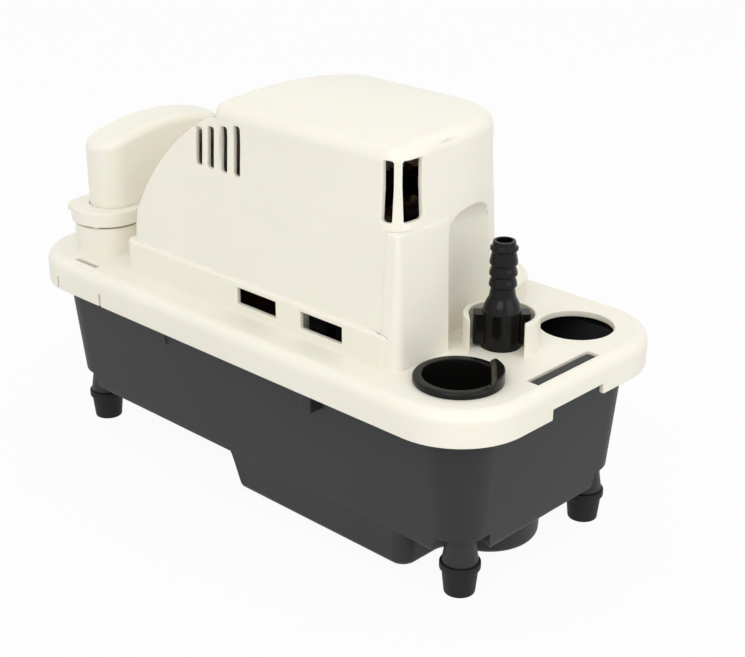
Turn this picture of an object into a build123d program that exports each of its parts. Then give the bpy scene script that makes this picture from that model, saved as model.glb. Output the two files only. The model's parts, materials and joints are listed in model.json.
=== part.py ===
from build123d import *
import os
from math import cos, hypot, radians, sin, sqrt, tan

# Condensate pump: a grey tank on four rubber feet, a cream cover moulded in one with the motor shroud,
# a shaded pole motor under the shroud, a centrifugal pump in the sump, a float switch and a check valve.
# X runs along the length, the discharge is at +X, Z = 0 is the floor under the feet. Millimetres.

# Cover: deck and skirt
cover_length = 280.0
cover_width = 136.7
cover_corner = 32.0
deck_top = 90.9
deck_thickness = 3.0
skirt_bottom = 76.2
skirt_wall = 2.4
cover_edge = 5.0
shell_wall = 2.4
end_x = cover_length / 2
side_y = cover_width / 2
deck_under = deck_top - deck_thickness

# Tank
rim_gap = 0.8
rim_bottom = 81.5
rim_drop = 0.3
tank_wall = 2.4
tank_floor = 19.0
mouth_inset = (9.5, 9.35)
mouth_corner = 21.0
floor_inset = (15.1, 17.15)
floor_corner = 12.5
floor_edge = 3.0
sump_bottom = 3.0
sump_draft = 3.0
sump_corner = 8.0
sump_step_run = 6.5
sump_edge = 3.2
well_radius = 23.0
well_cove = 8.0
lug_x = (47.6, 54.0)
lug_proud = 5.5
lug_bottom = 66.5
rib_x = -46.9
rib_width = 1.2
rib_proud = 0.9
rib_bottom = 64.0
rim_length = cover_length - 2 * (skirt_wall + rim_gap)
rim_width = cover_width - 2 * (skirt_wall + rim_gap)
rim_corner = cover_corner - skirt_wall - rim_gap

# Posts and feet
post_x = end_x - 24.0
post_y = side_y - 26.75
post_bottom = 14.3
post_neck = 6.4
post_foot = 7.6
recess_radius = 11.5
recess_top = 27.0
foot_ring_radius = 8.5
foot_ring_height = 3.2
foot_base_radius = 6.45
foot_neck_radius = 7.6
foot_stem_radius = 3.0
foot_stem_length = 8.0
foot_stem_gap = 0.1

# Discharge collar and check valve
discharge_x = end_x - 40.5
collar_radius = 15.8
collar_bore = 13.4
collar_top = 105.0
collar_window = (-13.3, 8.2)
collar_window_angle = -46.0
valve_radius = 8.15
valve_fit = 0.05
valve_bottom = 80.0
valve_shoulder = 106.0
valve_neck = 111.0
valve_socket = 8.0
barb_root = 4.9
barb_radius = 5.75
barb_land = 1.0
barb_top = 136.1
barb_ridges = (117.3, 122.0, 126.7, 132.6)
barb_bore = 3.4
ear_radius = 11.6
ear_bottom = 92.5
ear_top = 105.5
ear_width = 7.0
ear_angle = 44.0
ball_radius = 3.8
ball_chamber = 4.7
ball_seat_radius = 2.8
ball_seat_z = 86.0
ball_chamber_top = 100.0
ball_rest_gap = 0.1
o_ring_wire = 0.85
o_ring_groove = 1.1
valve_ring_z = 83.0

# Inlets and the plug
inlet_x = end_x - 30.5
inlet_y = side_y - 30.35
plug_lip = 2.25
plug_collar_gap = 5.444
inlet_radius = hypot(inlet_x - discharge_x, inlet_y) - collar_radius - plug_lip - plug_collar_gap
plug_flange_radius = inlet_radius + plug_lip
plug_flange = 2.7
plug_flange_edge = 0.7
plug_depth = 13.0
plug_draft = 1.3
plug_wall = 1.8
plug_gap = 0.3
plug_tab_inset = 5.6
plug_tab_rise = 2.4
plug_tab_slope = 2.0
plug_tab_angle = 40.0

# Shroud
shroud_rear = -end_x + 59.0
shroud_front = end_x - 52.0
shroud_half_width = side_y - 18.45
shroud_draft = 3.0
shroud_near_corner = 12.0
shroud_rear_corner = 9.0
shroud_far_corner = 60.0
roof = 173.0
back_foot = (shroud_rear + 2.2, deck_top + 15.0)
back_mid = (shroud_rear + 22.7, roof - 28.8)
back_end = (shroud_rear + 51.0, roof - 4.8)
roof_start = shroud_rear + 74.3
crown_rear = shroud_rear + 57.0
crown_near = roof + 3.6
crown_top = roof + 7.3
crown_far = roof - 0.6
crown_half = shroud_half_width + 2.0
crown_corner = 7.0
crown_edge = 6.0
crown_lap = 8.0
crown_seam = roof - 9.0
plinth_proud = 1.5
plinth_rear = shroud_rear + 0.3
plinth_front = shroud_front - 3.5
plinth_half_width = shroud_half_width + plinth_proud
plinth_corner = 5.0
plinth_far_corner = 24.0
plinth_top = deck_top + 14.1
plinth_edge = 1.4
pilaster_rear = shroud_front - 8.5
pilaster_edge_y = -shroud_half_width + 32.4
pilaster_top = roof - 27.0
pilaster_proud = 0.9
pilaster_corner = 5.0
scoop_radius = collar_radius + 6.8
scoop_top = roof - 25.0
scoop_cove = 10.0

# Vents in the shroud
vent_round = 1.2
rib_vent_x = [shroud_rear + step for step in (50.0, 57.5, 66.0, 74.0)]
rib_vent_width = 4.0
rib_vent_bottom = roof - 23.7
rib_vent_margin = 2.2
corner_vent_bottom = roof - 23.5
corner_vent_top = roof + 1.0
corner_vent_side = (shroud_front - 12.2, shroud_front - 7.6)
corner_vent_front = (-shroud_half_width + 8.0, -shroud_half_width + 17.7)
corner_vent_depth = 8.0

# Latches at both ends, and the slits in the deck and skirt
latch_slot = (end_x - 11.6, end_x - 5.6)
latch_slot_half = 19.8
latch_tongue_gap = 0.8
latch_tongue_drop = 0.9
latch_cutout_half = 16.5
latch_cutout_height = 4.6
hook_slit_x = (-end_x + 34.0, -end_x + 50.0)
hook_slit_y = side_y - 7.85
hook_slit_width = 2.6
skirt_slit_x = (-end_x + 28.1, -end_x + 60.0)
skirt_slit_width = 1.4
skirt_slit_height = 6.0

# Float switch housing
switch_x = -end_x + 30.5
switch_y = -side_y + 30.35
switch_collar_radius = 16.0
switch_collar_bore = 13.6
switch_collar_top = 104.0
switch_flange_radius = 17.4
switch_flange = (105.4, 112.0)
switch_seat = (switch_collar_top + 0.3, switch_flange[0])
switch_seat_radius = 15.0
switch_tray = 3.2
switch_floor = switch_flange[0] + switch_tray
switch_lug_angles = (-150.0, -105.0, -60.0, 60.0)
switch_lug_half = 1.6
switch_ear = (18.9, 3.4)
switch_ear_angle = -142.0
switch_spigot_radius = 13.3
switch_spigot_wall = 2.0
switch_spigot_bottom = 84.5
switch_ring_z = 96.0
tower_half_width = 11.5
tower_near = switch_y - 7.5
tower_far = switch_y + 65.0
tower_top = 149.5
tower_sag = 9.0
tower_wall = 2.0
tower_edge = 4.0
tower_gap = 0.3
micro_half = 3.2
micro_y = (switch_y + 2.0, switch_y + 24.0)
micro_z = (126.0, 137.0)
micro_lug = 1.4
micro_holder = 2.0
leaf_half = 0.8
leaf_half_width = 3.0
leaf_lug_half = 1.2
leaf_pin = 0.8
leaf_length = 27.0
leaf_slope = 17.0
leaf_gap = 0.3

# Float
arm_angle = 45.0
pivot_z = 56.0
pivot_offset = 8.0
pivot_pin = 1.5
float_length = 44.0
float_width = 30.0
float_height = 16.0
float_edge = 3.0
float_reach = 52.0
float_drop = 18.0
arm_width = 5.0
arm_thickness = 3.0
ear_half = 2.6
ear_sheet = 2.0
push_rod_radius = 1.6

# Motor
motor_x = shroud_front - 47.0
motor_room = roof - deck_top
stack_bottom = deck_top + 13.1
stack_height = 0.305 * motor_room
stack_behind = 47.0
stack_ahead = 23.0
stack_corner = 6.0
stack_half_width = 32.0
coil_leg = 12.0
coil_window_length = 14.0
coil_window_half = 20.0
shade_slot = (6.4, 2.4)
bore_radius = 15.5
rotor_gap = 0.5
end_ring = 2.0
shaft_radius = 3.0
shaft_bottom = 15.0
shaft_gap = 0.05
bracket_half = 12.0
bracket_sheet = 2.5
bracket_offset = 6.5
bracket_foot = 22.0
bracket_flat = 15.0
bush_radius = 6.0
bush_length = 7.0
screw_x = 7.0
screw_y = 27.0
screw_radius = 2.0
screw_head = (3.6, 2.4)
screw_gap = 0.05
bobbin_wall = 1.6
winding_depth = 9.0
winding_gap = 0.6
coil_half_length = 19.4
stack_top = stack_bottom + stack_height
stack_rear = motor_x - stack_behind
stack_front = motor_x + stack_ahead
window_rear = stack_rear + coil_leg
fan_bottom = stack_top + 13.0
fan_height = 0.145 * motor_room
fan_radius = 26.0
fan_blades = 5
fan_hub = 7.0
blade_sheet = 1.6
blade_pitch = 40.0
shaft_top = fan_bottom + fan_height + 2.0

# Slots at the foot of the shroud, beside the coil
base_vents = ((motor_x - 44.8, motor_x - 20.8), (motor_x - 6.0, motor_x + 18.0))
base_vent_bottom = deck_top + 3.6
base_vent_top = deck_top + 11.1

# Base plate and pump
base_plate = 2.5
base_margin = 4.0
base_front_margin = 0.5
base_half_width = shroud_half_width + 3.6
base_corner = 8.0
plate_bottom = deck_under - base_plate
plate_screw_x = (shroud_rear + 13.0, motor_x - 13.4, shroud_front - 24.0)
plate_screw_y = shroud_half_width - 4.9
plate_screw_radius = 1.6
plate_screw_head = (3.1, 2.2)
boss_top = deck_under + 11.1
boss_radius = 4.4
motor_post = 4.6
slinger_radius = 9.0
slinger_lift = 1.4
column_radius = 9.0
column_bore = 6.5
column_flange = (15.0, 3.0)
column_foot = (13.0, 2.4)
column_window = (3.0, 26.0, 12.0)
casing_radius = 24.0
casing_top = 25.0
casing_bottom = 12.0
casing_wall = 2.2
casing_socket = (8.0, 1.2)
eye_radius = 7.0
strainer_ribs = 6
strainer_plate = 2.0
impeller_radius = 19.0
impeller_clearance = 1.4
impeller_hub = 2.6
impeller_plate = 1.6
impeller_vanes = 6
vane_sheet = 1.4
vane_sweep = 50.0
pipe_radius = 5.2
pipe_wall = 1.4
pipe_z = 18.5
pipe_bend = 12.0
pipe_fit = 0.05
sump_rear = motor_x - 53.0
sump_front = motor_x + 53.3
well_x = discharge_x - 4.0

# Cord bush in the far wall of the plinth
cord_hole = 4.0
cord_bush_rim = 1.2
cord_bush_wall = 1.6
cord_bush_inner = 2.0
cord_bush_outer = 1.4
cord_x = shroud_rear + 31.0
cord_z = deck_top + 5.8

# Clearances
seat_gap = 0.3
facet_gap = 0.02

leaf_pivot_y = micro_y[1] - micro_lug - 0.2
leaf_pivot_z = micro_z[0] - 1.2
leaf_reach = leaf_pivot_y - switch_y + push_rod_radius
rod_top = leaf_pivot_z - leaf_reach * tan(radians(leaf_slope)) - leaf_half / cos(radians(leaf_slope)) - seat_gap


def slab(length, width, corner, low, high):
    """Upright plate with rounded corners."""
    return extrude(Plane.XY.offset(low) * RectangleRounded(length, width, corner), high - low)


def disc(radius, low, high, x=0.0, y=0.0):
    """Upright cylinder between two heights."""
    return Pos(x, y, low) * Cylinder(radius, high - low, align=(Align.CENTER, Align.CENTER, Align.MIN))


def block(x0, x1, y0, y1, z0, z1):
    """Box between two corners."""
    return Pos((x0 + x1) / 2, (y0 + y1) / 2, (z0 + z1) / 2) * Box(x1 - x0, y1 - y0, z1 - z0)


def turned(points):
    """Solid turned about the Z axis from its half outline of (radius, height) points."""
    outline = make_face(Plane.XZ * Polyline(*points, close=True))
    return revolve(outline, Axis.Z)


def tank_plan(z, inset):
    """Plan of the tank at one height, between its floor and its mouth."""
    share = (z - tank_floor) / (rim_bottom - tank_floor)
    length_inset, width_inset, corner = [
        low + share * (high - low)
        for low, high in zip(floor_inset + (floor_corner,), mouth_inset + (mouth_corner,))]
    return Plane.XY.offset(z) * RectangleRounded(
        cover_length - 2 * (length_inset + inset), cover_width - 2 * (width_inset + inset), corner - inset)


def tub(inset, low, high):
    """Body of the tank with sloped walls between two heights."""
    return loft([tank_plan(low, inset), tank_plan(high, inset)], ruled=True)


def sump(inset, bottom):
    """Deep front part of the tank: flush with its long walls, with a sloped step behind and a round well."""
    start = tank_floor + floor_edge
    half = side_y - floor_inset[1] - inset
    rear = sump_rear + inset
    front = sump_front - inset
    back = rear - 3 * sump_step_run
    plan = Pos((back + front) / 2, 0) * Rectangle(front - back, 2 * half)
    plan = fillet(plan.vertices().group_by(Axis.X)[-1], sump_corner - inset)
    plan += Pos(well_x, 0) * Circle(well_radius - inset)
    meets = plan.vertices().filter_by(lambda v: abs(abs(v.Y) - well_radius + inset) < 1.0)
    plan = fillet(meets, well_cove)
    body = extrude(Plane.XY.offset(start) * plan, start - bottom, dir=(0, 0, -1), taper=sump_draft)
    ahead = end_x
    side = make_face(Polyline((rear, start), (rear, tank_floor), (rear + sump_step_run, bottom),
                              (ahead, bottom), (ahead, start), close=True))
    body = body & extrude(Plane.XZ * side, 2 * half, both=True)
    low = body.edges().group_by(Axis.Z)[0]
    return fillet(low, sump_edge - inset)


def post_places():
    """Places of the corner posts: front near, front far, rear near, rear far."""
    return [(x, y) for x in (post_x, -post_x) for y in (-post_y, post_y)]


def make_tank():
    """Tank with rim, sump, corner posts in their recesses, latch tongues, side lug and rib."""
    outer = fillet(tub(0, tank_floor, rim_bottom).edges().group_by(Axis.Z)[0], floor_edge)
    outer += sump(0, sump_bottom)
    outer += slab(rim_length, rim_width, rim_corner, rim_bottom, deck_under - rim_drop)
    ledge_top = rim_bottom + tank_wall
    inner = tub(tank_wall, tank_floor + tank_wall, ledge_top)
    inner += sump(tank_wall, sump_bottom + tank_wall)
    inner += slab(rim_length - 2 * tank_wall, rim_width - 2 * tank_wall, rim_corner - tank_wall,
                  ledge_top, deck_top)
    for x, y in post_places():
        outer -= disc(recess_radius, post_bottom, recess_top, x, y)
        inner -= disc(recess_radius + tank_wall, post_bottom, recess_top + tank_wall, x, y)
        post = turned([(0, post_bottom), (post_foot, post_bottom), (post_neck, tank_floor + floor_edge),
                       (post_neck, recess_top + tank_wall / 2), (0, recess_top + tank_wall / 2)])
        outer += Pos(x, y, 0) * post
    body = outer - inner
    wall_y = side_y - mouth_inset[1]
    body += block(lug_x[0], lug_x[1], -wall_y - lug_proud, -wall_y + tank_wall, lug_bottom, rim_bottom)
    slope = (floor_inset[1] - mouth_inset[1]) / (rim_bottom - tank_floor)
    rib_set = slope * (rim_bottom - rib_bottom)
    rib = make_face(Polyline((-wall_y - rib_proud, rim_bottom), (-wall_y + rib_set - rib_proud, rib_bottom),
                             (-wall_y + rib_set + 1.0, rib_bottom), (-wall_y + 1.0, rim_bottom), close=True))
    body += extrude(Plane.YZ.offset(rib_x - rib_width / 2) * rib, rib_width)
    for side in (-1, 1):
        near = side * (latch_slot[0] + latch_tongue_gap)
        far = side * (latch_slot[1] - latch_tongue_gap)
        rim = side * (rim_length / 2 - tank_wall / 2)
        half = latch_slot_half - latch_tongue_gap
        body += block(min(near, rim), max(near, rim), -half, half, rim_bottom, deck_under - rim_drop)
        body += block(min(near, far), max(near, far), -half, half, rim_bottom, deck_top - latch_tongue_drop)
    for x, y in post_places():
        body -= disc(foot_stem_radius + foot_stem_gap, post_bottom, post_bottom + foot_stem_length + 0.5, x, y)
    return body


def make_foot(x, y):
    """Rubber foot pressed into a corner post."""
    body = turned([(0, 0), (foot_base_radius, 0), (foot_neck_radius, post_bottom - foot_ring_height),
                   (foot_ring_radius, post_bottom - foot_ring_height), (foot_ring_radius, post_bottom),
                   (foot_stem_radius, post_bottom), (foot_stem_radius, post_bottom + foot_stem_length),
                   (0, post_bottom + foot_stem_length)])
    return Pos(x, y, 0) * body


def shroud_plan(inset, rear, near_corner, rear_corner, far_corner, lean):
    """Plan of the shroud with its four corners; lean is how far its drafted walls have come in."""
    front = shroud_front - lean - inset
    half = shroud_half_width - lean - inset
    plan = Pos((rear + front) / 2, 0) * Rectangle(front - rear, 2 * half)
    for x, y, corner in ((front, half, far_corner), (front, -half, near_corner), (rear, half, rear_corner),
                         (rear, -half, rear_corner)):
        plan = fillet(plan.vertices().sort_by_distance((x, y, 0))[0], corner - lean - inset)
    return plan


def shroud_back(inset):
    """Body of the shroud behind and below the crown, with drafted walls and an arched back."""
    plan = shroud_plan(inset, shroud_rear + inset, shroud_near_corner, shroud_rear_corner,
                       shroud_far_corner, 0.0)
    tall = extrude(Plane.XY.offset(deck_under) * plan, roof - deck_under, taper=shroud_draft)
    arc = ThreePointArc(back_foot, back_mid, back_end)
    blend = TangentArc(back_end, (roof_start, roof), tangent=arc % 1)
    rest = Polyline((roof_start, roof), (end_x, roof), (end_x, skirt_bottom),
                    (back_foot[0] - 2, skirt_bottom), back_foot)
    side = make_face(Curve() + [arc, blend, rest])
    if inset:
        side = offset(side, -inset)
    body = tall & extrude(Plane.XZ * side, cover_width / 2, both=True)
    return body - block(crown_rear + crown_lap - inset, end_x, -side_y, side_y, crown_seam - inset, roof + 1)


def shroud_crown(inset):
    """Raised, softly arched roof of the shroud."""
    lean = (crown_seam - deck_under) * tan(radians(shroud_draft))
    plan = shroud_plan(inset, crown_rear + inset, shroud_near_corner, crown_corner + lean,
                       shroud_far_corner, lean)
    low = crown_seam - 3 * crown_edge
    tall = extrude(Plane.XY.offset(low) * plan, crown_top - low + 1)
    arch = Curve() + [
        ThreePointArc((-crown_half, crown_near - inset), (0, crown_top - inset), (crown_half, crown_far - inset)),
        Polyline((crown_half, crown_far - inset), (crown_half, low - 1), (-crown_half, low - 1),
                 (-crown_half, crown_near - inset))]
    body = tall & extrude(Plane.YZ.offset(crown_rear - 1) * make_face(arch), shroud_front - crown_rear + 2)
    top = body.faces().sort_by(Axis.Z)[-1]
    return fillet(top.edges(), crown_edge - inset)


def pilaster():
    """Thicker panel on the near front corner of the shroud."""
    length = shroud_front - shroud_rear + 2 * pilaster_proud
    plan = Pos((shroud_front + shroud_rear) / 2, 0) * RectangleRounded(
        length, 2 * (shroud_half_width + pilaster_proud), pilaster_corner)
    tall = extrude(Plane.XY.offset(deck_under) * plan, pilaster_top - deck_under, taper=shroud_draft)
    return tall & block(pilaster_rear, end_x, -side_y, pilaster_edge_y, deck_under, pilaster_top)


def plinth(inset):
    """Step round the foot of the shroud."""
    front = plinth_front - inset
    half = plinth_half_width - inset
    plan = Pos((plinth_rear + plinth_front) / 2, 0) * Rectangle(plinth_front - plinth_rear - 2 * inset, 2 * half)
    far = plan.vertices().sort_by_distance((front, half, 0))[0]
    plan = fillet(plan.vertices() - [far], plinth_corner - inset)
    far = plan.vertices().sort_by_distance((front, half, 0))[0]
    plan = fillet(far, plinth_far_corner - inset)
    body = extrude(Plane.XY.offset(deck_under) * plan, plinth_top - inset - deck_under)
    return body if inset else fillet(body.edges().group_by(Axis.Z)[-1], plinth_edge)


def vent(x0, x1, y0, y1, z0, z1, through):
    """Slot with rounded corners, cut along one axis."""
    slot = block(x0, x1, y0, y1, z0, z1)
    return fillet(slot.edges().filter_by(through), vent_round)


def make_cover():
    """Deck, skirt, plinth and shroud as one moulding, with its collars, vents and slots."""
    body = slab(cover_length, cover_width, cover_corner, skirt_bottom, deck_top)
    body = fillet(body.edges().group_by(Axis.Z)[-1], cover_edge)
    body -= slab(cover_length - 2 * skirt_wall, cover_width - 2 * skirt_wall, cover_corner - skirt_wall,
                 skirt_bottom, deck_under)
    body += plinth(0)
    body += shroud_back(0)
    body += shroud_crown(0)
    hollow = shroud_back(shell_wall) + shroud_crown(shell_wall)
    hollow += plinth(shell_wall)
    scoop = disc(scoop_radius, deck_top, scoop_top, discharge_x)
    scoop = fillet(scoop.edges().group_by(Axis.Z)[-1], scoop_cove)
    hollow -= disc(scoop_radius + shell_wall, deck_under, scoop_top + shell_wall, discharge_x)
    body += pilaster()
    body -= scoop
    body -= hollow
    for x, y in plate_screw_places():
        body += disc(boss_radius, deck_under, boss_top, x, y)
        body -= disc(plate_screw_radius + facet_gap, deck_under, boss_top - 1.0, x, y)
    cord_way = Rot(90, 0, 0) * Cylinder(cord_hole + facet_gap, 4 * shell_wall)
    body -= Pos(cord_x, plinth_half_width, cord_z) * cord_way
    body += disc(collar_radius, deck_under, collar_top, discharge_x)
    body -= disc(collar_bore, deck_top, collar_top, discharge_x)
    window = Rot(0, 0, collar_window_angle) * block(0, collar_radius + 2, collar_window[0], collar_window[1],
                                                    deck_top, collar_top)
    body -= Pos(discharge_x, 0, 0) * window
    body += disc(valve_radius + shell_wall, valve_bottom - valve_socket, deck_under, discharge_x)
    body -= disc(valve_radius + valve_fit, valve_bottom - valve_socket, deck_top, discharge_x)
    body += disc(switch_collar_radius, deck_under, switch_collar_top, switch_x, switch_y)
    body -= disc(switch_collar_bore, deck_under, switch_collar_top, switch_x, switch_y)
    for y in (inlet_y, -inlet_y):
        body -= disc(inlet_radius, deck_under, deck_top, inlet_x, y)
    for side in (-1, 1):
        inner_y = side * (shroud_half_width - 3 * shell_wall)
        outer_y = side * (plinth_half_width + shell_wall)
        y0, y1 = min(inner_y, outer_y), max(inner_y, outer_y)
        for x in rib_vent_x:
            half = rib_vent_width / 2
            top = side_top(x) - rib_vent_margin
            body -= vent(x - half, x + half, y0, y1, rib_vent_bottom, top, Axis.Y)
        for x0, x1 in base_vents:
            body -= block(x0, x1, y0, y1, base_vent_bottom, base_vent_top)
    inner_x = shroud_front - corner_vent_depth
    inner_y = -shroud_half_width + corner_vent_depth
    body -= vent(*corner_vent_side, -side_y, inner_y, corner_vent_bottom, corner_vent_top, Axis.Y)
    body -= vent(inner_x, end_x, *corner_vent_front, corner_vent_bottom, corner_vent_top, Axis.X)
    for side in (-1, 1):
        x0, x1 = sorted((side * latch_slot[0], side * latch_slot[1]))
        body -= block(x0, x1, -latch_slot_half, latch_slot_half, deck_under, deck_top)
        edge = side * (end_x - skirt_wall / 2)
        body -= block(edge - skirt_wall, edge + skirt_wall, -latch_cutout_half, latch_cutout_half,
                      skirt_bottom, skirt_bottom + latch_cutout_height)
        y = side * hook_slit_y
        body -= block(hook_slit_x[0], hook_slit_x[1], y - hook_slit_width / 2, y + hook_slit_width / 2,
                      deck_under, deck_top)
        y = side * (side_y - skirt_wall / 2)
        for x in skirt_slit_x:
            body -= block(x - skirt_slit_width / 2, x + skirt_slit_width / 2, y - skirt_wall, y + skirt_wall,
                          skirt_bottom, skirt_bottom + skirt_slit_height)
    return body


def side_top(x):
    """Height of the shroud's side outline at x, where the arched back runs into the roof."""
    share = min(1.0, (x - back_end[0]) / (roof_start - back_end[0]))
    return back_end[1] + (roof - back_end[1]) * share


def make_plug():
    """Cup-shaped inlet plug with a finger tab over part of its flange."""
    skirt = inlet_radius - plug_gap
    low = deck_top - plug_depth
    top = deck_top + plug_flange
    cup = skirt - plug_wall
    body = turned([(0, low), (skirt - plug_draft, low), (skirt, deck_top), (plug_flange_radius, deck_top),
                   (plug_flange_radius, top - plug_flange_edge), (plug_flange_radius - plug_flange_edge, top),
                   (cup + plug_flange_edge, top), (cup - plug_draft, low + plug_wall), (0, low + plug_wall)])
    inner = plug_flange_radius - plug_tab_inset
    tab = disc(plug_flange_radius, deck_top, top + plug_tab_rise)
    tab = tab & block(inner, plug_flange_radius, -plug_flange_radius, plug_flange_radius, deck_top,
                      top + plug_tab_rise)
    tab = chamfer(tab.edges().filter_by(Axis.Y).sort_by(Axis.Z)[-1], plug_tab_slope)
    body += Rot(0, 0, plug_tab_angle) * tab
    return Pos(inlet_x, -inlet_y, 0) * body


def make_valve_body():
    """Check valve adapter: spigot with ring groove, ball chamber, bayonet ears and a hose barb."""
    groove = valve_radius - 2 * o_ring_wire - 0.2
    outline = [(ball_seat_radius, valve_bottom), (valve_radius, valve_bottom),
               (valve_radius, valve_ring_z - o_ring_groove), (groove, valve_ring_z - o_ring_groove),
               (groove, valve_ring_z + o_ring_groove), (valve_radius, valve_ring_z + o_ring_groove),
               (valve_radius, valve_shoulder),
               (valve_radius - 0.9, valve_shoulder + 3.0), (barb_root + 0.6, valve_neck + 1.5)]
    ends = barb_ridges[1:] + (barb_top - 1.0,)
    for low, high in zip(barb_ridges, ends):
        outline += [(barb_root, low - 0.8), (barb_radius, low - 0.2), (barb_radius, low + barb_land - 0.2),
                    (barb_root, high - 1.0)]
    outline += [(barb_root - 0.4, barb_top), (barb_bore, barb_top), (barb_bore, ball_chamber_top + 1.3),
                (ball_chamber, ball_chamber_top), (ball_chamber, ball_seat_z), (ball_seat_radius, ball_seat_z)]
    body = turned(outline)
    ear = block(valve_radius - 1.0, ear_radius, -ear_width / 2, ear_width / 2, ear_bottom, ear_top)
    ear = fillet(ear.edges().filter_by(Axis.Z).group_by(Axis.X)[-1], 1.5)
    for turn in (ear_angle, ear_angle + 180):
        body += Rot(0, 0, turn) * ear
    return Pos(discharge_x, 0, 0) * body


def make_discharge_pipe():
    """Pipe from the pump casing, round one bend and up to the check valve."""
    start = motor_x + casing_radius + 0.5
    low = valve_bottom - valve_socket - 1.0
    path = FilletPolyline((start, 0, pipe_z), (discharge_x, 0, pipe_z), (discharge_x, 0, low),
                          radius=pipe_bend)
    section = Plane(origin=(start, 0, pipe_z), z_dir=(1, 0, 0))
    body = sweep(section * Circle(pipe_radius), path=path)
    body += disc(valve_radius - 0.1, low, valve_bottom - seat_gap, discharge_x)
    body -= sweep(section * Circle(pipe_radius - pipe_wall), path=path)
    body -= disc(pipe_radius - pipe_wall, low, valve_bottom, discharge_x)
    return body


def make_casing():
    """Pump casing, open below, with the outlet socket."""
    body = disc(casing_radius, casing_bottom, casing_top, motor_x)
    reach = casing_radius + casing_socket[0]
    socket = Rot(0, 90, 0) * disc(pipe_radius + casing_socket[1], casing_radius - 4, reach)
    body += Pos(motor_x, 0, pipe_z) * socket
    body -= disc(casing_radius - casing_wall, casing_bottom, casing_top - casing_wall, motor_x)
    body -= disc(column_bore, casing_bottom, casing_top, motor_x)
    hole = Rot(0, 90, 0) * disc(pipe_radius + pipe_fit, casing_radius + 0.5, reach)
    body -= Pos(motor_x, 0, pipe_z) * hole
    hole = Rot(0, 90, 0) * disc(pipe_radius - pipe_wall, casing_radius - 2 * casing_wall, casing_radius + 1)
    body -= Pos(motor_x, 0, pipe_z) * hole
    return body


def make_strainer():
    """Bottom of the pump casing with the suction eye and its standing ribs."""
    low = sump_bottom + tank_wall + seat_gap
    body = disc(casing_radius, casing_bottom - strainer_plate, casing_bottom, motor_x)
    for k in range(strainer_ribs):
        rib = block(eye_radius + 2, casing_radius - 1, -1, 1, low, casing_bottom - 1)
        body += Pos(motor_x, 0, 0) * Rot(0, 0, 360 * k / strainer_ribs) * rib
    body -= disc(eye_radius, low, casing_bottom, motor_x)
    return body


def make_column():
    """Tube that carries the pump casing below the base plate, with drain windows."""
    body = disc(column_radius, casing_top, plate_bottom, motor_x)
    body += disc(column_flange[0], plate_bottom - column_flange[1], plate_bottom, motor_x)
    body += disc(column_foot[0], casing_top, casing_top + column_foot[1], motor_x)
    body -= disc(column_bore, casing_top, plate_bottom, motor_x)
    for turn in (0, 90):
        half, low, high = column_window
        window = block(-column_radius, column_radius, -half, half, plate_bottom - low, plate_bottom - high)
        body -= Pos(motor_x, 0, 0) * Rot(0, 0, turn) * window
    return body


def make_impeller():
    """Impeller with a back plate and curved vanes."""
    top = casing_top - casing_wall - impeller_clearance
    low = casing_bottom + impeller_clearance
    body = disc(impeller_radius, top - impeller_plate, top)
    body += disc(shaft_radius + impeller_hub, low, top)
    inner = shaft_radius + impeller_hub / 2
    sweep_back = radians(vane_sweep)
    middle = (inner + impeller_radius) / 2
    vane_path = ThreePointArc((inner, 0), (middle * cos(sweep_back / 3), -middle * sin(sweep_back / 3)),
                              (impeller_radius * cos(sweep_back), -impeller_radius * sin(sweep_back)))
    vane = extrude(Pos(0, 0, low) * make_face(trace_outline(vane_path, vane_sheet)), top - 1 - low)
    for k in range(impeller_vanes):
        body += Rot(0, 0, 360 * k / impeller_vanes) * vane
    body = body & disc(impeller_radius, low, top)
    body -= disc(shaft_radius + facet_gap, shaft_bottom - facet_gap, top)
    return Pos(motor_x, 0, 0) * body


def trace_outline(path, width):
    """Closed outline of a strip of one width along an arc."""
    start, mid, end = path @ 0, path @ 0.5, path @ 1
    edges = []
    for side in (-1, 1):
        points = []
        for place in (0, 0.5, 1):
            tangent = path % place
            normal = Vector(-tangent.Y, tangent.X) * (side * width / 2)
            points.append((path @ place) + normal)
        edges.append(points)
    near, far = edges
    return Curve() + [ThreePointArc(*near), Line(near[2], far[2]), ThreePointArc(*far), Line(far[0], near[0])]


def make_shaft():
    """Motor and pump shaft."""
    shaft = disc(shaft_radius, shaft_bottom, shaft_top, motor_x)
    return chamfer(shaft.edges().group_by(Axis.Z)[-1], 0.5)


def make_rotor():
    """Rotor core with its cast end rings."""
    radius = bore_radius - rotor_gap
    body = disc(radius, stack_bottom, stack_top, motor_x)
    body += disc(radius - 2, stack_bottom - end_ring, stack_top + end_ring, motor_x)
    return body - disc(shaft_radius + facet_gap, stack_bottom - end_ring, stack_top + end_ring, motor_x)


def make_fan():
    """Cooling fan with tilted blades on a hub."""
    body = disc(fan_hub, fan_bottom, fan_bottom + fan_height)
    middle = fan_bottom + fan_height / 2
    blade = Box(fan_radius - fan_hub + 2, blade_sheet, fan_height / cos(radians(90 - blade_pitch)) - 4,
                align=(Align.MIN, Align.CENTER, Align.CENTER))
    blade = Pos(fan_hub - 2, 0, middle) * Rot(blade_pitch, 0, 0) * blade
    for k in range(fan_blades):
        body += Rot(0, 0, 360 * k / fan_blades) * blade
    body = body & disc(fan_radius, fan_bottom, fan_bottom + fan_height)
    body -= disc(shaft_radius + facet_gap, fan_bottom, fan_bottom + fan_height)
    return Pos(motor_x, 0, 0) * body


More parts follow.
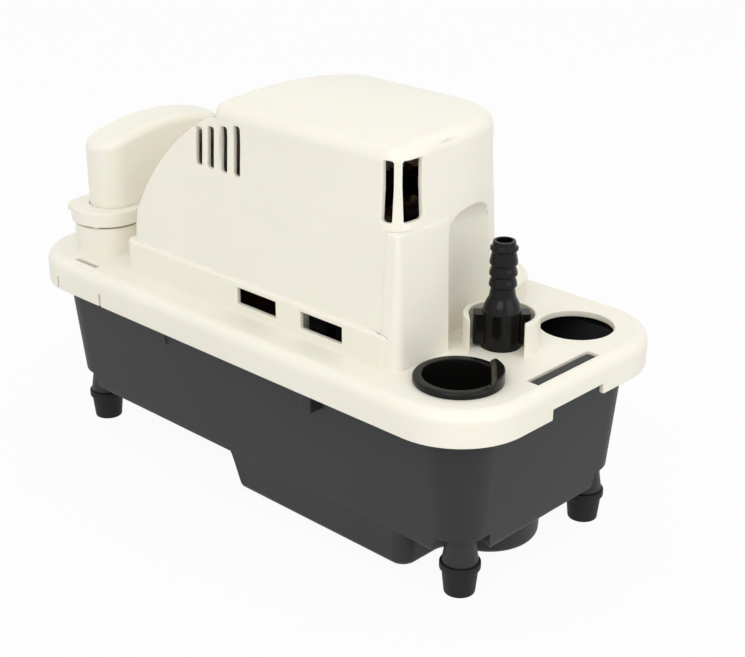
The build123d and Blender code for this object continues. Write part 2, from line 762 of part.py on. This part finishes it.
def make_slinger():
    """Rubber disc on the shaft that throws water off."""
    low = deck_under + slinger_lift
    body = turned([(shaft_radius + facet_gap, low), (slinger_radius, low), (slinger_radius, low + 1.2),
                   (shaft_radius + 2, low + 3.0), (shaft_radius + facet_gap, low + 3.0)])
    return Pos(motor_x, 0, 0) * body


def screw_places():
    """Places of the four long motor screws."""
    return [(motor_x + sx * screw_x, sy * screw_y) for sx in (-1, 1) for sy in (-1, 1)]


def plate_screw_places():
    """Places of the screws that hold the base plate."""
    return [(x, side * plate_screw_y) for x in plate_screw_x for side in (-1, 1)]


def make_stator():
    """Laminated stator frame with the coil window and the rotor bore."""
    body = block(stack_rear, stack_front, -stack_half_width, stack_half_width, stack_bottom, stack_top)
    body = fillet(body.edges().filter_by(Axis.Z), stack_corner)
    body -= block(window_rear, window_rear + coil_window_length, -coil_window_half, coil_window_half,
                  stack_bottom, stack_top)
    body -= disc(bore_radius, stack_bottom, stack_top, motor_x)
    for side in (-1, 1):
        y = side * (bore_radius + shade_slot[1])
        body -= block(motor_x - shade_slot[0] / 2, motor_x + shade_slot[0] / 2, y - shade_slot[1] / 2,
                      y + shade_slot[1] / 2, stack_bottom, stack_top)
    for x, y in screw_places():
        body -= disc(screw_radius + screw_gap, stack_bottom, stack_top, x, y)
    return body


def coil_block(grow, half):
    """Block around the coil leg, larger than it by grow on every side."""
    return block(stack_rear - grow, stack_rear + coil_leg + grow, -half, half, stack_bottom - grow,
                 stack_top + grow)


def make_bobbin():
    """Coil former with two cheeks."""
    leg = coil_block(seat_gap / 3, coil_half_length)
    body = coil_block(bobbin_wall, coil_half_length)
    cheek = bobbin_wall + winding_depth + winding_gap
    cheeks = coil_block(cheek, coil_half_length) - coil_block(cheek, coil_half_length - bobbin_wall)
    return body + cheeks - leg


def make_winding():
    """Copper winding between the cheeks."""
    half = coil_half_length - bobbin_wall - facet_gap
    body = coil_block(bobbin_wall + winding_depth, half)
    body = fillet(body.edges().filter_by(Axis.Y), winding_depth * 0.7)
    return body - coil_block(bobbin_wall + facet_gap, half)


def make_bracket(side):
    """Bearing bracket under (-1) or over (+1) the stator."""
    high = bracket_offset + bracket_sheet
    half = [(stack_half_width, 0), (stack_half_width, bracket_sheet), (bracket_foot, bracket_sheet),
            (bracket_flat, high)]
    under = [(bracket_flat - bracket_sheet / 3, bracket_offset), (bracket_foot - bracket_sheet / 3, 0)]
    points = half + [(-y, z) for y, z in reversed(half)] + [(-y, z) for y, z in reversed(under)] + under
    strip = extrude(Plane.YZ.offset(motor_x - bracket_half) * make_face(Polyline(*points, close=True)),
                    2 * bracket_half)
    strip -= disc(bush_radius, 0, high, motor_x)
    for x, y in screw_places():
        strip -= disc(screw_radius + screw_gap, 0, bracket_sheet, x, y)
    if side > 0:
        return Pos(0, 0, stack_top) * strip
    return Pos(0, 0, stack_bottom) * mirror(strip, Plane.XY)


def make_bush(side):
    """Bearing bush pressed into a bracket."""
    middle = bracket_offset + bracket_sheet / 2
    low = stack_top + middle - bush_length / 2
    if side < 0:
        low = stack_bottom - middle - bush_length / 2
    body = disc(bush_radius - facet_gap, low, low + bush_length, motor_x)
    return body - disc(shaft_radius + shaft_gap, low, low + bush_length, motor_x)


def make_screws(places, radius, low, high, head_radius, head_low, head_high):
    """Group of equal screws, one solid each."""
    group = [disc(radius, low, high, x, y) + disc(head_radius, head_low, head_high, x, y) for x, y in places]
    return Compound(children=group)


def make_base_plate():
    """Plate that closes the shroud below and carries the motor on posts."""
    rear = shroud_rear - base_margin
    front = shroud_front + base_front_margin
    body = Pos((rear + front) / 2, 0) * slab(front - rear, 2 * base_half_width, base_corner, plate_bottom,
                                             deck_under)
    post_top_z = stack_bottom - bracket_sheet
    for x, y in screw_places():
        body += disc(motor_post, deck_under, post_top_z, x, y)
        body -= disc(screw_radius + screw_gap, deck_under + 1.0, post_top_z, x, y)
    body -= disc(bush_radius - 1.0, plate_bottom, deck_under, motor_x)
    for x, y in plate_screw_places():
        body -= disc(plate_screw_radius + 0.2, plate_bottom, deck_under, x, y)
    return body


def stadium(inset, low, high):
    """Tower plan with round ends, extruded between two heights."""
    half = tower_half_width - inset
    length = tower_far - tower_near - 2 * inset
    plan = RectangleRounded(2 * half, length, half - 0.5)
    return extrude(Pos(switch_x, (tower_far + tower_near) / 2, low) * plan, high - low)


def tower_form(inset):
    """Tower with an arched top."""
    low = switch_floor
    body = stadium(inset, low, tower_top)
    top = tower_top - inset
    arch = Curve() + [ThreePointArc((tower_near - 2, top - tower_sag), ((tower_near + tower_far) / 2 + 6, top),
                                    (tower_far + 2, top - tower_sag * 0.6)),
                      Polyline((tower_far + 2, top - tower_sag * 0.6), (tower_far + 2, low),
                               (tower_near - 2, low), (tower_near - 2, top - tower_sag))]
    arch = extrude(Plane.YZ.offset(switch_x - 20) * make_face(arch), 40)
    body = body & arch
    return fillet(body.edges().group_by(Axis.Z)[-1] + body.edges().filter_by(
        lambda e: e.center().Z > top - tower_sag - 1), tower_edge - inset)


def make_switch_cap():
    """Cap of the float switch housing: the tower."""
    return tower_form(0) - tower_form(tower_wall)


def make_switch_base():
    """Base of the float switch housing: flange with bayonet lugs, tray, spigot and pivot ears."""
    low, high = switch_flange
    seat_low, seat_high = switch_seat
    body = disc(switch_flange_radius, low, high, switch_x, switch_y)
    ear = block(0, switch_ear[0], -switch_ear[1], switch_ear[1], high - switch_ear[1], high)
    body += Pos(switch_x, switch_y, 0) * Rot(0, 0, switch_ear_angle) * ear
    body -= stadium(-tower_gap, switch_floor, high)
    body += stadium(0, low + 1.0, switch_floor)
    body += disc(switch_seat_radius, seat_low, seat_high, switch_x, switch_y)
    lug = block(0, switch_collar_radius, -switch_lug_half, switch_lug_half, seat_low, seat_high)
    for turn in switch_lug_angles:
        body += Pos(switch_x, switch_y, 0) * Rot(0, 0, turn) * lug
    body += disc(switch_spigot_radius, switch_spigot_bottom, seat_low, switch_x, switch_y)
    bore = switch_spigot_radius - switch_spigot_wall
    body -= disc(bore, switch_spigot_bottom, low, switch_x, switch_y)
    ears = Rot(0, 0, arm_angle) * ear_pair()
    body += Pos(switch_x, switch_y, 0) * ears
    holder = switch_x + micro_half + seat_gap
    body += block(holder, holder + micro_holder, micro_y[0] + 3, micro_y[1] - 1, switch_floor, micro_z[1] - 2)
    body -= disc(push_rod_radius + 0.1, low - 1, switch_floor, switch_x, switch_y)
    groove = disc(switch_spigot_radius, switch_ring_z - o_ring_groove, switch_ring_z + o_ring_groove, switch_x,
                  switch_y)
    groove -= disc(switch_spigot_radius - 2 * o_ring_wire, switch_ring_z - o_ring_groove,
                   switch_ring_z + o_ring_groove, switch_x, switch_y)
    return body - groove


def ear_pair():
    """Two ears that hold the float's pivot pin, along local X."""
    ears = Part()
    top = switch_spigot_bottom + 4 * switch_spigot_wall
    for side in (-1, 1):
        y = side * (arm_width / 2 + seat_gap + ear_sheet / 2)
        ear = block(-pivot_offset - ear_half, -pivot_offset + ear_half, y - ear_sheet / 2, y + ear_sheet / 2,
                    pivot_z - ear_half, top)
        ear += block(switch_spigot_wall / 2 - switch_spigot_radius, -pivot_offset, y - ear_sheet / 2,
                     y + ear_sheet / 2, switch_spigot_bottom, top)
        hole = Pos(-pivot_offset, y, pivot_z) * Rot(90, 0, 0) * Cylinder(pivot_pin + facet_gap, 2 * ear_sheet)
        ears += ear - hole
    return ears


def arm_frame(shape):
    """Shape of the float's own frame, moved to the switch axis and turned to the arm's direction."""
    return Pos(switch_x, switch_y, 0) * Rot(0, 0, arm_angle) * shape


def make_float_arm():
    """Arm from the pivot over the float, with its drop stem."""
    half = arm_width / 2
    body = block(-pivot_offset, float_reach - pivot_offset, -half, half, pivot_z - arm_thickness / 2,
                 pivot_z + arm_thickness / 2)
    hub = Pos(-pivot_offset, 0, pivot_z) * Rot(90, 0, 0) * Cylinder(arm_thickness, arm_width)
    body += hub
    stem_x = float_reach - pivot_offset - arm_thickness
    body += block(stem_x, stem_x + arm_thickness, -half, half, pivot_z - float_drop + float_height / 2,
                  pivot_z)
    body -= Pos(-pivot_offset, 0, pivot_z) * Rot(90, 0, 0) * Cylinder(pivot_pin + shaft_gap, arm_width)
    return arm_frame(body)


def make_float():
    """Hollow float, closed all round."""
    top = pivot_z - float_drop + float_height / 2
    middle = float_reach - pivot_offset - arm_thickness / 2
    body = block(middle - float_length / 2, middle + float_length / 2, -float_width / 2, float_width / 2,
                 top - float_height, top)
    body = fillet(body.edges(), float_edge)
    return arm_frame(body)


def make_pivot_pin():
    """Pin of the float arm."""
    length = arm_width + 2 * (seat_gap + ear_sheet)
    return arm_frame(Pos(-pivot_offset, 0, pivot_z) * Rot(90, 0, 0) * Cylinder(pivot_pin, length))


def make_push_rod():
    """Rod from the float arm up to the switch leaf."""
    low = pivot_z + arm_thickness / 2 + seat_gap
    body = disc(push_rod_radius, low + 1.5, rod_top, switch_x, switch_y)
    body += Pos(switch_x, switch_y, low + push_rod_radius) * Sphere(push_rod_radius)
    return body


def make_microswitch():
    """Snap switch on the bracket of the housing base, with its terminals and the leaf's lug."""
    body = block(switch_x - micro_half, switch_x + micro_half, micro_y[0], micro_y[1], micro_z[0], micro_z[1])
    body = chamfer(body.edges().filter_by(Axis.X), 0.6)
    for k in range(3):
        y = micro_y[0] + 4 + k * (micro_y[1] - micro_y[0] - 8) / 2
        body += block(switch_x - 1.6, switch_x + 1.6, y - 0.4, y + 0.4, micro_z[1] - 1, micro_z[1] + 5)
    lug = Pos(switch_x, leaf_pivot_y, leaf_pivot_z) * Rot(0, 90, 0)
    body += lug * Cylinder(micro_lug, 2 * leaf_lug_half)
    body += block(switch_x - leaf_lug_half, switch_x + leaf_lug_half, leaf_pivot_y - micro_lug,
                  leaf_pivot_y + micro_lug, leaf_pivot_z, micro_z[0] + 1)
    return body - lug * Cylinder(leaf_pin + shaft_gap, 4 * leaf_lug_half)


def make_leaf():
    """Forked leaf of the snap switch, sloping down to the push rod."""
    blade = block(-leaf_half_width, leaf_half_width, -leaf_length, -5.0, -leaf_half, leaf_half)
    blade += Rot(0, 90, 0) * Cylinder(leaf_pin, 2 * leaf_half_width)
    inner = leaf_lug_half + leaf_gap
    for x0, x1 in ((-leaf_half_width, -inner), (inner, leaf_half_width)):
        blade += block(x0, x1, -7.0, 0.8, -0.6, 0.6)
    return Pos(switch_x, leaf_pivot_y, leaf_pivot_z) * Rot(leaf_slope, 0, 0) * blade


def make_grommet():
    """Bush in the cord hole of the far wall."""
    rim = cord_hole + cord_bush_rim
    bore = cord_hole - cord_bush_wall
    half = shell_wall / 2
    inside = -half - cord_bush_inner
    outside = half + cord_bush_outer
    outer = turned([(bore, inside), (rim, inside), (rim, -half), (cord_hole, -half), (cord_hole, half),
                    (rim, half), (rim, outside), (bore, outside)])
    return Pos(cord_x, plinth_half_width - shell_wall / 2, cord_z) * Rot(-90, 0, 0) * outer


def ring(major, wire, x, y, z):
    """Rubber ring seal."""
    return Pos(x, y, z) * Torus(major, wire)


parts = {}
parts["tank"] = make_tank()
parts["cover"] = make_cover()
for number, (x, y) in enumerate(post_places(), 1):
    parts[f"rubber_foot_{number}"] = make_foot(x, y)
parts["inlet_plug"] = make_plug()
parts["valve_body"] = make_valve_body()
ball_z = ball_seat_z + sqrt(ball_radius ** 2 - ball_seat_radius ** 2) + ball_rest_gap
parts["valve_ball"] = Pos(discharge_x, 0, ball_z) * Sphere(ball_radius)
parts["valve_o_ring"] = ring(valve_radius - o_ring_wire, o_ring_wire, discharge_x, 0, valve_ring_z)
parts["discharge_pipe"] = make_discharge_pipe()
parts["pump_casing"] = make_casing()
parts["suction_strainer"] = make_strainer()
parts["pump_column"] = make_column()
parts["impeller"] = make_impeller()
parts["motor_shaft"] = make_shaft()
parts["rotor_core"] = make_rotor()
parts["cooling_fan"] = make_fan()
parts["slinger"] = make_slinger()
parts["stator_stack"] = make_stator()
parts["coil_bobbin"] = make_bobbin()
parts["coil_winding"] = make_winding()
parts["lower_bracket"] = make_bracket(-1)
parts["upper_bracket"] = make_bracket(1)
parts["lower_bush"] = make_bush(-1)
parts["upper_bush"] = make_bush(1)
screw_seat = stack_top + bracket_sheet
parts["motor_screws"] = make_screws(screw_places(), screw_radius, deck_under + 1.5, screw_seat,
                                    screw_head[0], screw_seat, screw_seat + screw_head[1])
parts["base_plate"] = make_base_plate()
parts["plate_screws"] = make_screws(plate_screw_places(), plate_screw_radius, plate_bottom, boss_top - 2,
                                    plate_screw_head[0], plate_bottom - plate_screw_head[1], plate_bottom)
parts["switch_cap"] = make_switch_cap()
parts["switch_base"] = make_switch_base()
parts["switch_o_ring"] = ring(switch_spigot_radius - o_ring_wire + 0.2, o_ring_wire, switch_x, switch_y,
                              switch_ring_z)
parts["microswitch"] = make_microswitch()
parts["switch_leaf"] = make_leaf()
parts["push_rod"] = make_push_rod()
parts["float_arm"] = make_float_arm()
parts["float"] = make_float()
parts["pivot_pin"] = make_pivot_pin()
parts["cord_grommet"] = make_grommet()

os.makedirs("parts", exist_ok=True)
for name, solid in parts.items():
    export_step(solid, f"parts/{name}.step")
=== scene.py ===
import json
import math

import bmesh
import bpy
from mathutils import Matrix, Vector, kdtree

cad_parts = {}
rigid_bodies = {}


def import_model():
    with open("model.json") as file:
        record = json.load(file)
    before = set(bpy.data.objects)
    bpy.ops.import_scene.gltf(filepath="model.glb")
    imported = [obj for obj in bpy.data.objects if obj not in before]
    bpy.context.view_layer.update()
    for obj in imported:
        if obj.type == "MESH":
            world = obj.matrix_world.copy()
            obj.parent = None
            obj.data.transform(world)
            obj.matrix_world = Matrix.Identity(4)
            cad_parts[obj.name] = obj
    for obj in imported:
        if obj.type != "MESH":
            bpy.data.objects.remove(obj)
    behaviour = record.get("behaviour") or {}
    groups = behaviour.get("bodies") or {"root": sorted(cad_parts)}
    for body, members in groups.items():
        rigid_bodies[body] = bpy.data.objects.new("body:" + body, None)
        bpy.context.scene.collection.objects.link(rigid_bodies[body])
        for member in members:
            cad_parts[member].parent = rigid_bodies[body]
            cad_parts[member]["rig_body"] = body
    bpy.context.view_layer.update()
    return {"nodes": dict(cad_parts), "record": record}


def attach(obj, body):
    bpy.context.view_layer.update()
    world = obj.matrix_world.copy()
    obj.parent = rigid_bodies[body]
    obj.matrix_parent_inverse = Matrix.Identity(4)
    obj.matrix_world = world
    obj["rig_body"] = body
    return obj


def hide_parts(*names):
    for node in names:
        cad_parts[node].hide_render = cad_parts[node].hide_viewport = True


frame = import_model()

MM = 0.001

# Rounding of the sharp edges
weld = 0.002 * MM
flat_angle = math.radians(0.5)
sharp_angle = math.radians(32)
round_steps = 2
farthest_move = 2.2  # in widths; a bevel point that lands farther off goes back to its corner
normal_weight = 80
edge_width = {
    "cover": 0.5 * MM,
    "tank": 0.5 * MM,
    "switch_base": 0.4 * MM,
    "switch_cap": 0.4 * MM,
    "inlet_plug": 0.35 * MM,
    "valve_body": 0.15 * MM,
    "rubber_foot_1": 0.4 * MM,
    "rubber_foot_2": 0.4 * MM,
    "rubber_foot_3": 0.4 * MM,
    "rubber_foot_4": 0.4 * MM,
}

# Camera, as fitted to the photograph
camera_place = Vector((0.45515, -0.44839, 0.34337))
camera_aim = Vector((0.02719, 0.0, 0.07627))
camera_roll = math.radians(0.14)
photo_width = 745
focal_pixels = 1527.59
sensor_width = 36.0

# Colours, linear
cream = (0.880, 0.850, 0.745)
tank_grey = (0.0235, 0.0245, 0.0260)
black = (0.0050, 0.0047, 0.0042)
rubber_grey = (0.0085, 0.0090, 0.0100)
steel_grey = (0.52, 0.53, 0.54)
ball_grey = (0.75, 0.76, 0.78)
lamination_grey = (0.12, 0.12, 0.13)
copper = (0.42, 0.085, 0.035)
bronze = (0.50, 0.33, 0.14)
white_plastic = (0.72, 0.72, 0.69)
floor_grey = (0.80, 0.80, 0.80)
white = (1.0, 1.0, 1.0)

# Tone, relief and inner light of the plastics
cloud_scale = 14.0
wave_scale = 55.0
wave_strength = 0.12
wave_depth = 0.4 * MM
grain_depth = 0.12 * MM
glow_share = 0.35
glow_radius = (1.0, 0.55, 0.25)
cream_glow_depth = 1.5 * MM

# Tool marks of the metals, sheets and turns of the motor
metal_cloud_scale = 30.0
mark_strength = 0.15
mark_depth = 0.08 * MM
sheet_pitch = 0.5 * MM
wire_pitch = 0.4 * MM
metre_band_scale = 0.314  # scale of a band texture whose bands are one metre apart
band_distortion = 0.4
band_strength = 0.5
band_share = 0.4  # depth of a band against its pitch
band_grain = 900.0

# Floor and surroundings
floor_half = 6.0
floor_roughness = 0.8
floor_specular = 0.1
floor_glow_share = 0.94  # the rest keeps the object's shadow
world_light = 0.72
world_seen = 1.0

# Lamps: place, aim, power in watts, side length
lamps = {
    "key": ((0.55, -1.15, 1.15), (0, 0, 0.08), 7.6, 1.0),
    "fill": ((1.3, 0.1, 0.7), (0, 0, 0.08), 3.6, 1.0),
    "top": ((-0.2, 0.2, 1.5), (0, 0, 0.1), 2.0, 1.2),
}


class Shader:
    """Node tree of one material, with short calls for its nodes."""

    def __init__(self, name):
        self.material = bpy.data.materials.new(name)
        self.material.use_nodes = True
        self.tree = self.material.node_tree
        self.tree.nodes.clear()
        self.output = self.node("ShaderNodeOutputMaterial")
        self.surface = self.node("ShaderNodeBsdfPrincipled")
        self.link(self.surface, "BSDF", self.output, "Surface")
        self.place = self.node("ShaderNodeTexCoord")

    def node(self, kind, **settings):
        made = self.tree.nodes.new(kind)
        for key, value in settings.items():
            setattr(made, key, value)
        return made

    def link(self, start, out, end, into):
        self.tree.links.new(start.outputs[out], end.inputs[into])

    def set(self, socket, value):
        self.surface.inputs[socket].default_value = value

    def noise(self, scale, detail=3.0, rough=0.55):
        made = self.node("ShaderNodeTexNoise")
        made.inputs["Scale"].default_value = scale
        made.inputs["Detail"].default_value = detail
        made.inputs["Roughness"].default_value = rough
        self.link(self.place, "Object", made, "Vector")
        return made

    def span(self, source, low, high, from_low=0.3, from_high=0.7):
        """Noise stretched from its usual range to low and high."""
        made = self.node("ShaderNodeMapRange")
        made.inputs["From Min"].default_value = from_low
        made.inputs["From Max"].default_value = from_high
        made.inputs["To Min"].default_value = low
        made.inputs["To Max"].default_value = high
        self.link(source, "Fac", made, "Value")
        return made

    def tones(self, factor, out, colour, darker, lighter):
        """Base colour between two tones of one colour."""
        made = self.node("ShaderNodeMix", data_type="RGBA")
        made.inputs["A"].default_value = (*shade(colour, darker), 1.0)
        made.inputs["B"].default_value = (*shade(colour, lighter), 1.0)
        self.link(factor, out, made, "Factor")
        self.link(made, "Result", self.surface, "Base Color")

    def roughness(self, source, low, high):
        self.link(self.span(source, low, high), "Result", self.surface, "Roughness")

    def bump(self, height, strength, distance, previous=None):
        made = self.node("ShaderNodeBump")
        made.inputs["Strength"].default_value = strength
        made.inputs["Distance"].default_value = distance
        self.link(height, "Fac", made, "Height")
        if previous:
            self.link(previous, "Normal", made, "Normal")
        return made

    def relief(self, height, strength, distance, previous=None):
        self.link(self.bump(height, strength, distance, previous), "Normal", self.surface, "Normal")


def shade(colour, factor):
    """Colour made lighter or darker."""
    return tuple(min(1.0, c * factor) for c in colour)


def moulded(name, colour, roughness, grain, relief, tone, specular=0.5, glow_depth=0.0):
    """Moulded plastic or rubber: faint tone clouds, fine grain, slight gloss changes."""
    s = Shader(name)
    s.tones(s.span(s.noise(cloud_scale, 4.0), 0.0, 1.0), "Result", colour, 1 - tone, 1 + tone)
    fine = s.noise(grain, 3.0, 0.6)
    s.roughness(fine, roughness - 0.05, roughness + 0.06)
    s.relief(fine, relief, grain_depth, s.bump(s.noise(wave_scale, 2.0), wave_strength, wave_depth))
    s.set("Specular IOR Level", specular)
    if glow_depth:
        s.surface.subsurface_method = "RANDOM_WALK"
        s.set("Subsurface Weight", glow_share)
        s.set("Subsurface Radius", glow_radius)
        s.set("Subsurface Scale", glow_depth)
    return s.material


def metal(name, colour, roughness, grain):
    """Bare metal with fine tool marks."""
    s = Shader(name)
    s.tones(s.span(s.noise(metal_cloud_scale, 4.0), 0.0, 1.0), "Result", colour, 0.85, 1.08)
    fine = s.noise(grain)
    s.roughness(fine, roughness - 0.06, roughness + 0.08)
    s.relief(fine, mark_strength, mark_depth)
    s.set("Metallic", 1.0)
    return s.material


def layered(name, colour, roughness, pitch, metallic):
    """Stack of sheets or turns of wire: fine bands along the motor's axis."""
    s = Shader(name)
    bands = s.node("ShaderNodeTexWave", wave_type="BANDS", bands_direction="Z")
    bands.inputs["Scale"].default_value = metre_band_scale / pitch
    bands.inputs["Distortion"].default_value = band_distortion
    s.link(s.place, "Object", bands, "Vector")
    s.tones(bands, "Fac", colour, 0.55, 1.1)
    s.roughness(s.noise(band_grain, 2.0), roughness - 0.05, roughness + 0.1)
    s.relief(bands, band_strength, pitch * band_share)
    s.set("Metallic", metallic)
    return s.material


# One material for each of the record's slots. A moulded one gives its colour, roughness, grain scale,
# strength of the grain, share by which the tone varies, and specular level.
materials = {
    "cream_plastic": moulded("cream_plastic", cream, 0.42, 1100.0, 0.10, 0.02, 0.5, cream_glow_depth),
    "tank_plastic": moulded("tank_plastic", tank_grey, 0.50, 1500.0, 0.22, 0.06, 0.30),
    "black_plastic": moulded("black_plastic", black, 0.20, 1300.0, 0.06, 0.15, 0.22),
    "foot_rubber": moulded("foot_rubber", rubber_grey, 0.60, 900.0, 0.30, 0.10, 0.26),
    "seal_rubber": moulded("seal_rubber", black, 0.50, 900.0, 0.20, 0.10, 0.35),
    "steel": metal("steel", steel_grey, 0.34, 700.0),
    "lamination": layered("lamination", lamination_grey, 0.45, sheet_pitch, 0.8),
    "copper_wire": layered("copper_wire", copper, 0.30, wire_pitch, 0.6),
    "bearing_bronze": metal("bearing_bronze", bronze, 0.45, 900.0),
    "white_plastic": moulded("white_plastic", white_plastic, 0.48, 900.0, 0.15, 0.03),
    "steel_ball": metal("steel_ball", ball_grey, 0.16, 1500.0),
}
slots = {row["node"]: row["material_slot"] for row in frame["record"]["subparts"]}


def rounded_mesh(name, source, width):
    """Copy of a mesh with its sharp edges rounded."""
    work = bmesh.new()
    work.from_mesh(source)
    bmesh.ops.remove_doubles(work, verts=work.verts, dist=weld)
    bmesh.ops.dissolve_degenerate(work, edges=work.edges, dist=weld)
    bmesh.ops.dissolve_limit(work, angle_limit=flat_angle, verts=work.verts, edges=work.edges)
    many_sided = [face for face in work.faces if len(face.verts) > 4]
    bmesh.ops.triangulate(work, faces=many_sided, ngon_method="BEAUTY")
    start = kdtree.KDTree(len(work.verts))
    for index, vert in enumerate(work.verts):
        start.insert(vert.co, index)
    start.balance()
    sharp = [edge for edge in work.edges if edge.is_manifold and edge.calc_face_angle(0.0) > sharp_angle]
    rounded = bmesh.ops.bevel(work, geom=sharp, offset=width, offset_type="OFFSET", segments=round_steps,
                              profile=0.5, affect="EDGES", clamp_overlap=False, loop_slide=False)
    for vert in rounded["verts"]:
        corner, _, distance = start.find(vert.co)
        if distance > farthest_move * width:
            vert.co = corner
    bmesh.ops.remove_doubles(work, verts=work.verts, dist=weld / 2)
    bmesh.ops.dissolve_degenerate(work, edges=work.edges, dist=weld / 2)
    mesh = bpy.data.meshes.new(name)
    work.to_mesh(mesh)
    work.free()
    for face in mesh.polygons:
        face.use_smooth = True
    return mesh


def dress(name, width):
    """Rounded copy of a CAD node, which stands for the node."""
    node = frame["nodes"][name]
    mesh = rounded_mesh(f"{name}_dressed", node.data, width)
    mesh.materials.append(materials[slots[name]])
    piece = bpy.data.objects.new(f"{name}_dressed", mesh)
    bpy.context.scene.collection.objects.link(piece)
    normals = piece.modifiers.new("normals", "WEIGHTED_NORMAL")
    normals.mode = "FACE_AREA"
    normals.weight = normal_weight
    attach(piece, node["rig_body"])
    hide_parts(name)


def seen_rays(tree):
    """Node that picks the rays that see the background: straight, mirrored or through glass."""
    rays = tree.nodes.new("ShaderNodeLightPath")
    value = rays.outputs["Is Camera Ray"]
    for name in ("Is Glossy Ray", "Is Transmission Ray"):
        either = tree.nodes.new("ShaderNodeMath")
        either.operation = "MAXIMUM"
        tree.links.new(value, either.inputs[0])
        tree.links.new(rays.outputs[name], either.inputs[1])
        value = either.outputs["Value"]
    return either


def make_floor():
    """Wide pale floor, nearly white where it is seen, which keeps the object's shadow."""
    mesh = bpy.data.meshes.new("floor")
    work = bmesh.new()
    corners = ((-1, -1), (1, -1), (1, 1), (-1, 1))
    work.faces.new([work.verts.new((x * floor_half, y * floor_half, 0.0)) for x, y in corners])
    work.to_mesh(mesh)
    work.free()
    floor = bpy.data.objects.new("floor", mesh)
    bpy.context.scene.collection.objects.link(floor)
    s = Shader("floor_white")
    s.set("Base Color", (*floor_grey, 1.0))
    s.set("Roughness", floor_roughness)
    s.set("Specular IOR Level", floor_specular)
    glow = s.node("ShaderNodeEmission")
    glow.inputs["Color"].default_value = (*white, 1.0)
    share = s.node("ShaderNodeMath", operation="MULTIPLY")
    share.inputs[1].default_value = floor_glow_share
    s.link(seen_rays(s.tree), "Value", share, 0)
    mixed = s.node("ShaderNodeMixShader")
    s.link(share, "Value", mixed, "Fac")
    s.link(s.surface, "BSDF", mixed, 1)
    s.link(glow, "Emission", mixed, 2)
    s.link(mixed, "Shader", s.output, "Surface")
    mesh.materials.append(s.material)


def make_world():
    """White surroundings, dimmer as a light than as a background."""
    world = bpy.data.worlds.new("studio")
    bpy.context.scene.world = world
    world.use_nodes = True
    tree = world.node_tree
    tree.nodes.clear()
    output = tree.nodes.new("ShaderNodeOutputWorld")
    mixed = tree.nodes.new("ShaderNodeMixShader")
    tree.links.new(seen_rays(tree).outputs["Value"], mixed.inputs["Fac"])
    for place, strength in ((1, world_light), (2, world_seen)):
        glow = tree.nodes.new("ShaderNodeBackground")
        glow.inputs["Color"].default_value = (*white, 1.0)
        glow.inputs["Strength"].default_value = strength
        tree.links.new(glow.outputs["Background"], mixed.inputs[place])
    tree.links.new(mixed.outputs["Shader"], output.inputs["Surface"])


def make_lamp(name, place, aim, power, side):
    """Soft square lamp aimed at a point."""
    data = bpy.data.lights.new(name, "AREA")
    data.shape = "SQUARE"
    data.size = side
    data.energy = power
    made = bpy.data.objects.new(name, data)
    bpy.context.scene.collection.objects.link(made)
    made.location = place
    made.rotation_euler = (Vector(aim) - Vector(place)).to_track_quat("-Z", "Y").to_euler()


def make_camera():
    """Camera at the photograph's place."""
    data = bpy.data.cameras.new("camera")
    data.sensor_width = sensor_width
    data.lens = focal_pixels / photo_width * sensor_width
    made = bpy.data.objects.new("camera", data)
    bpy.context.scene.collection.objects.link(made)
    turn = (camera_aim - camera_place).to_track_quat("-Z", "Y").to_matrix().to_4x4()
    made.matrix_world = Matrix.Translation(camera_place) @ turn @ Matrix.Rotation(camera_roll, 4, "Z")
    bpy.context.scene.camera = made


for name, node in frame["nodes"].items():
    node.data.materials.clear()
    node.data.materials.append(materials[slots[name]])
for name, width in edge_width.items():
    dress(name, width)

make_floor()
make_world()
make_camera()
for name, (place, aim, power, side) in lamps.items():
    make_lamp(name, place, aim, power, side)

bpy.context.scene.view_settings.view_transform = "Standard"
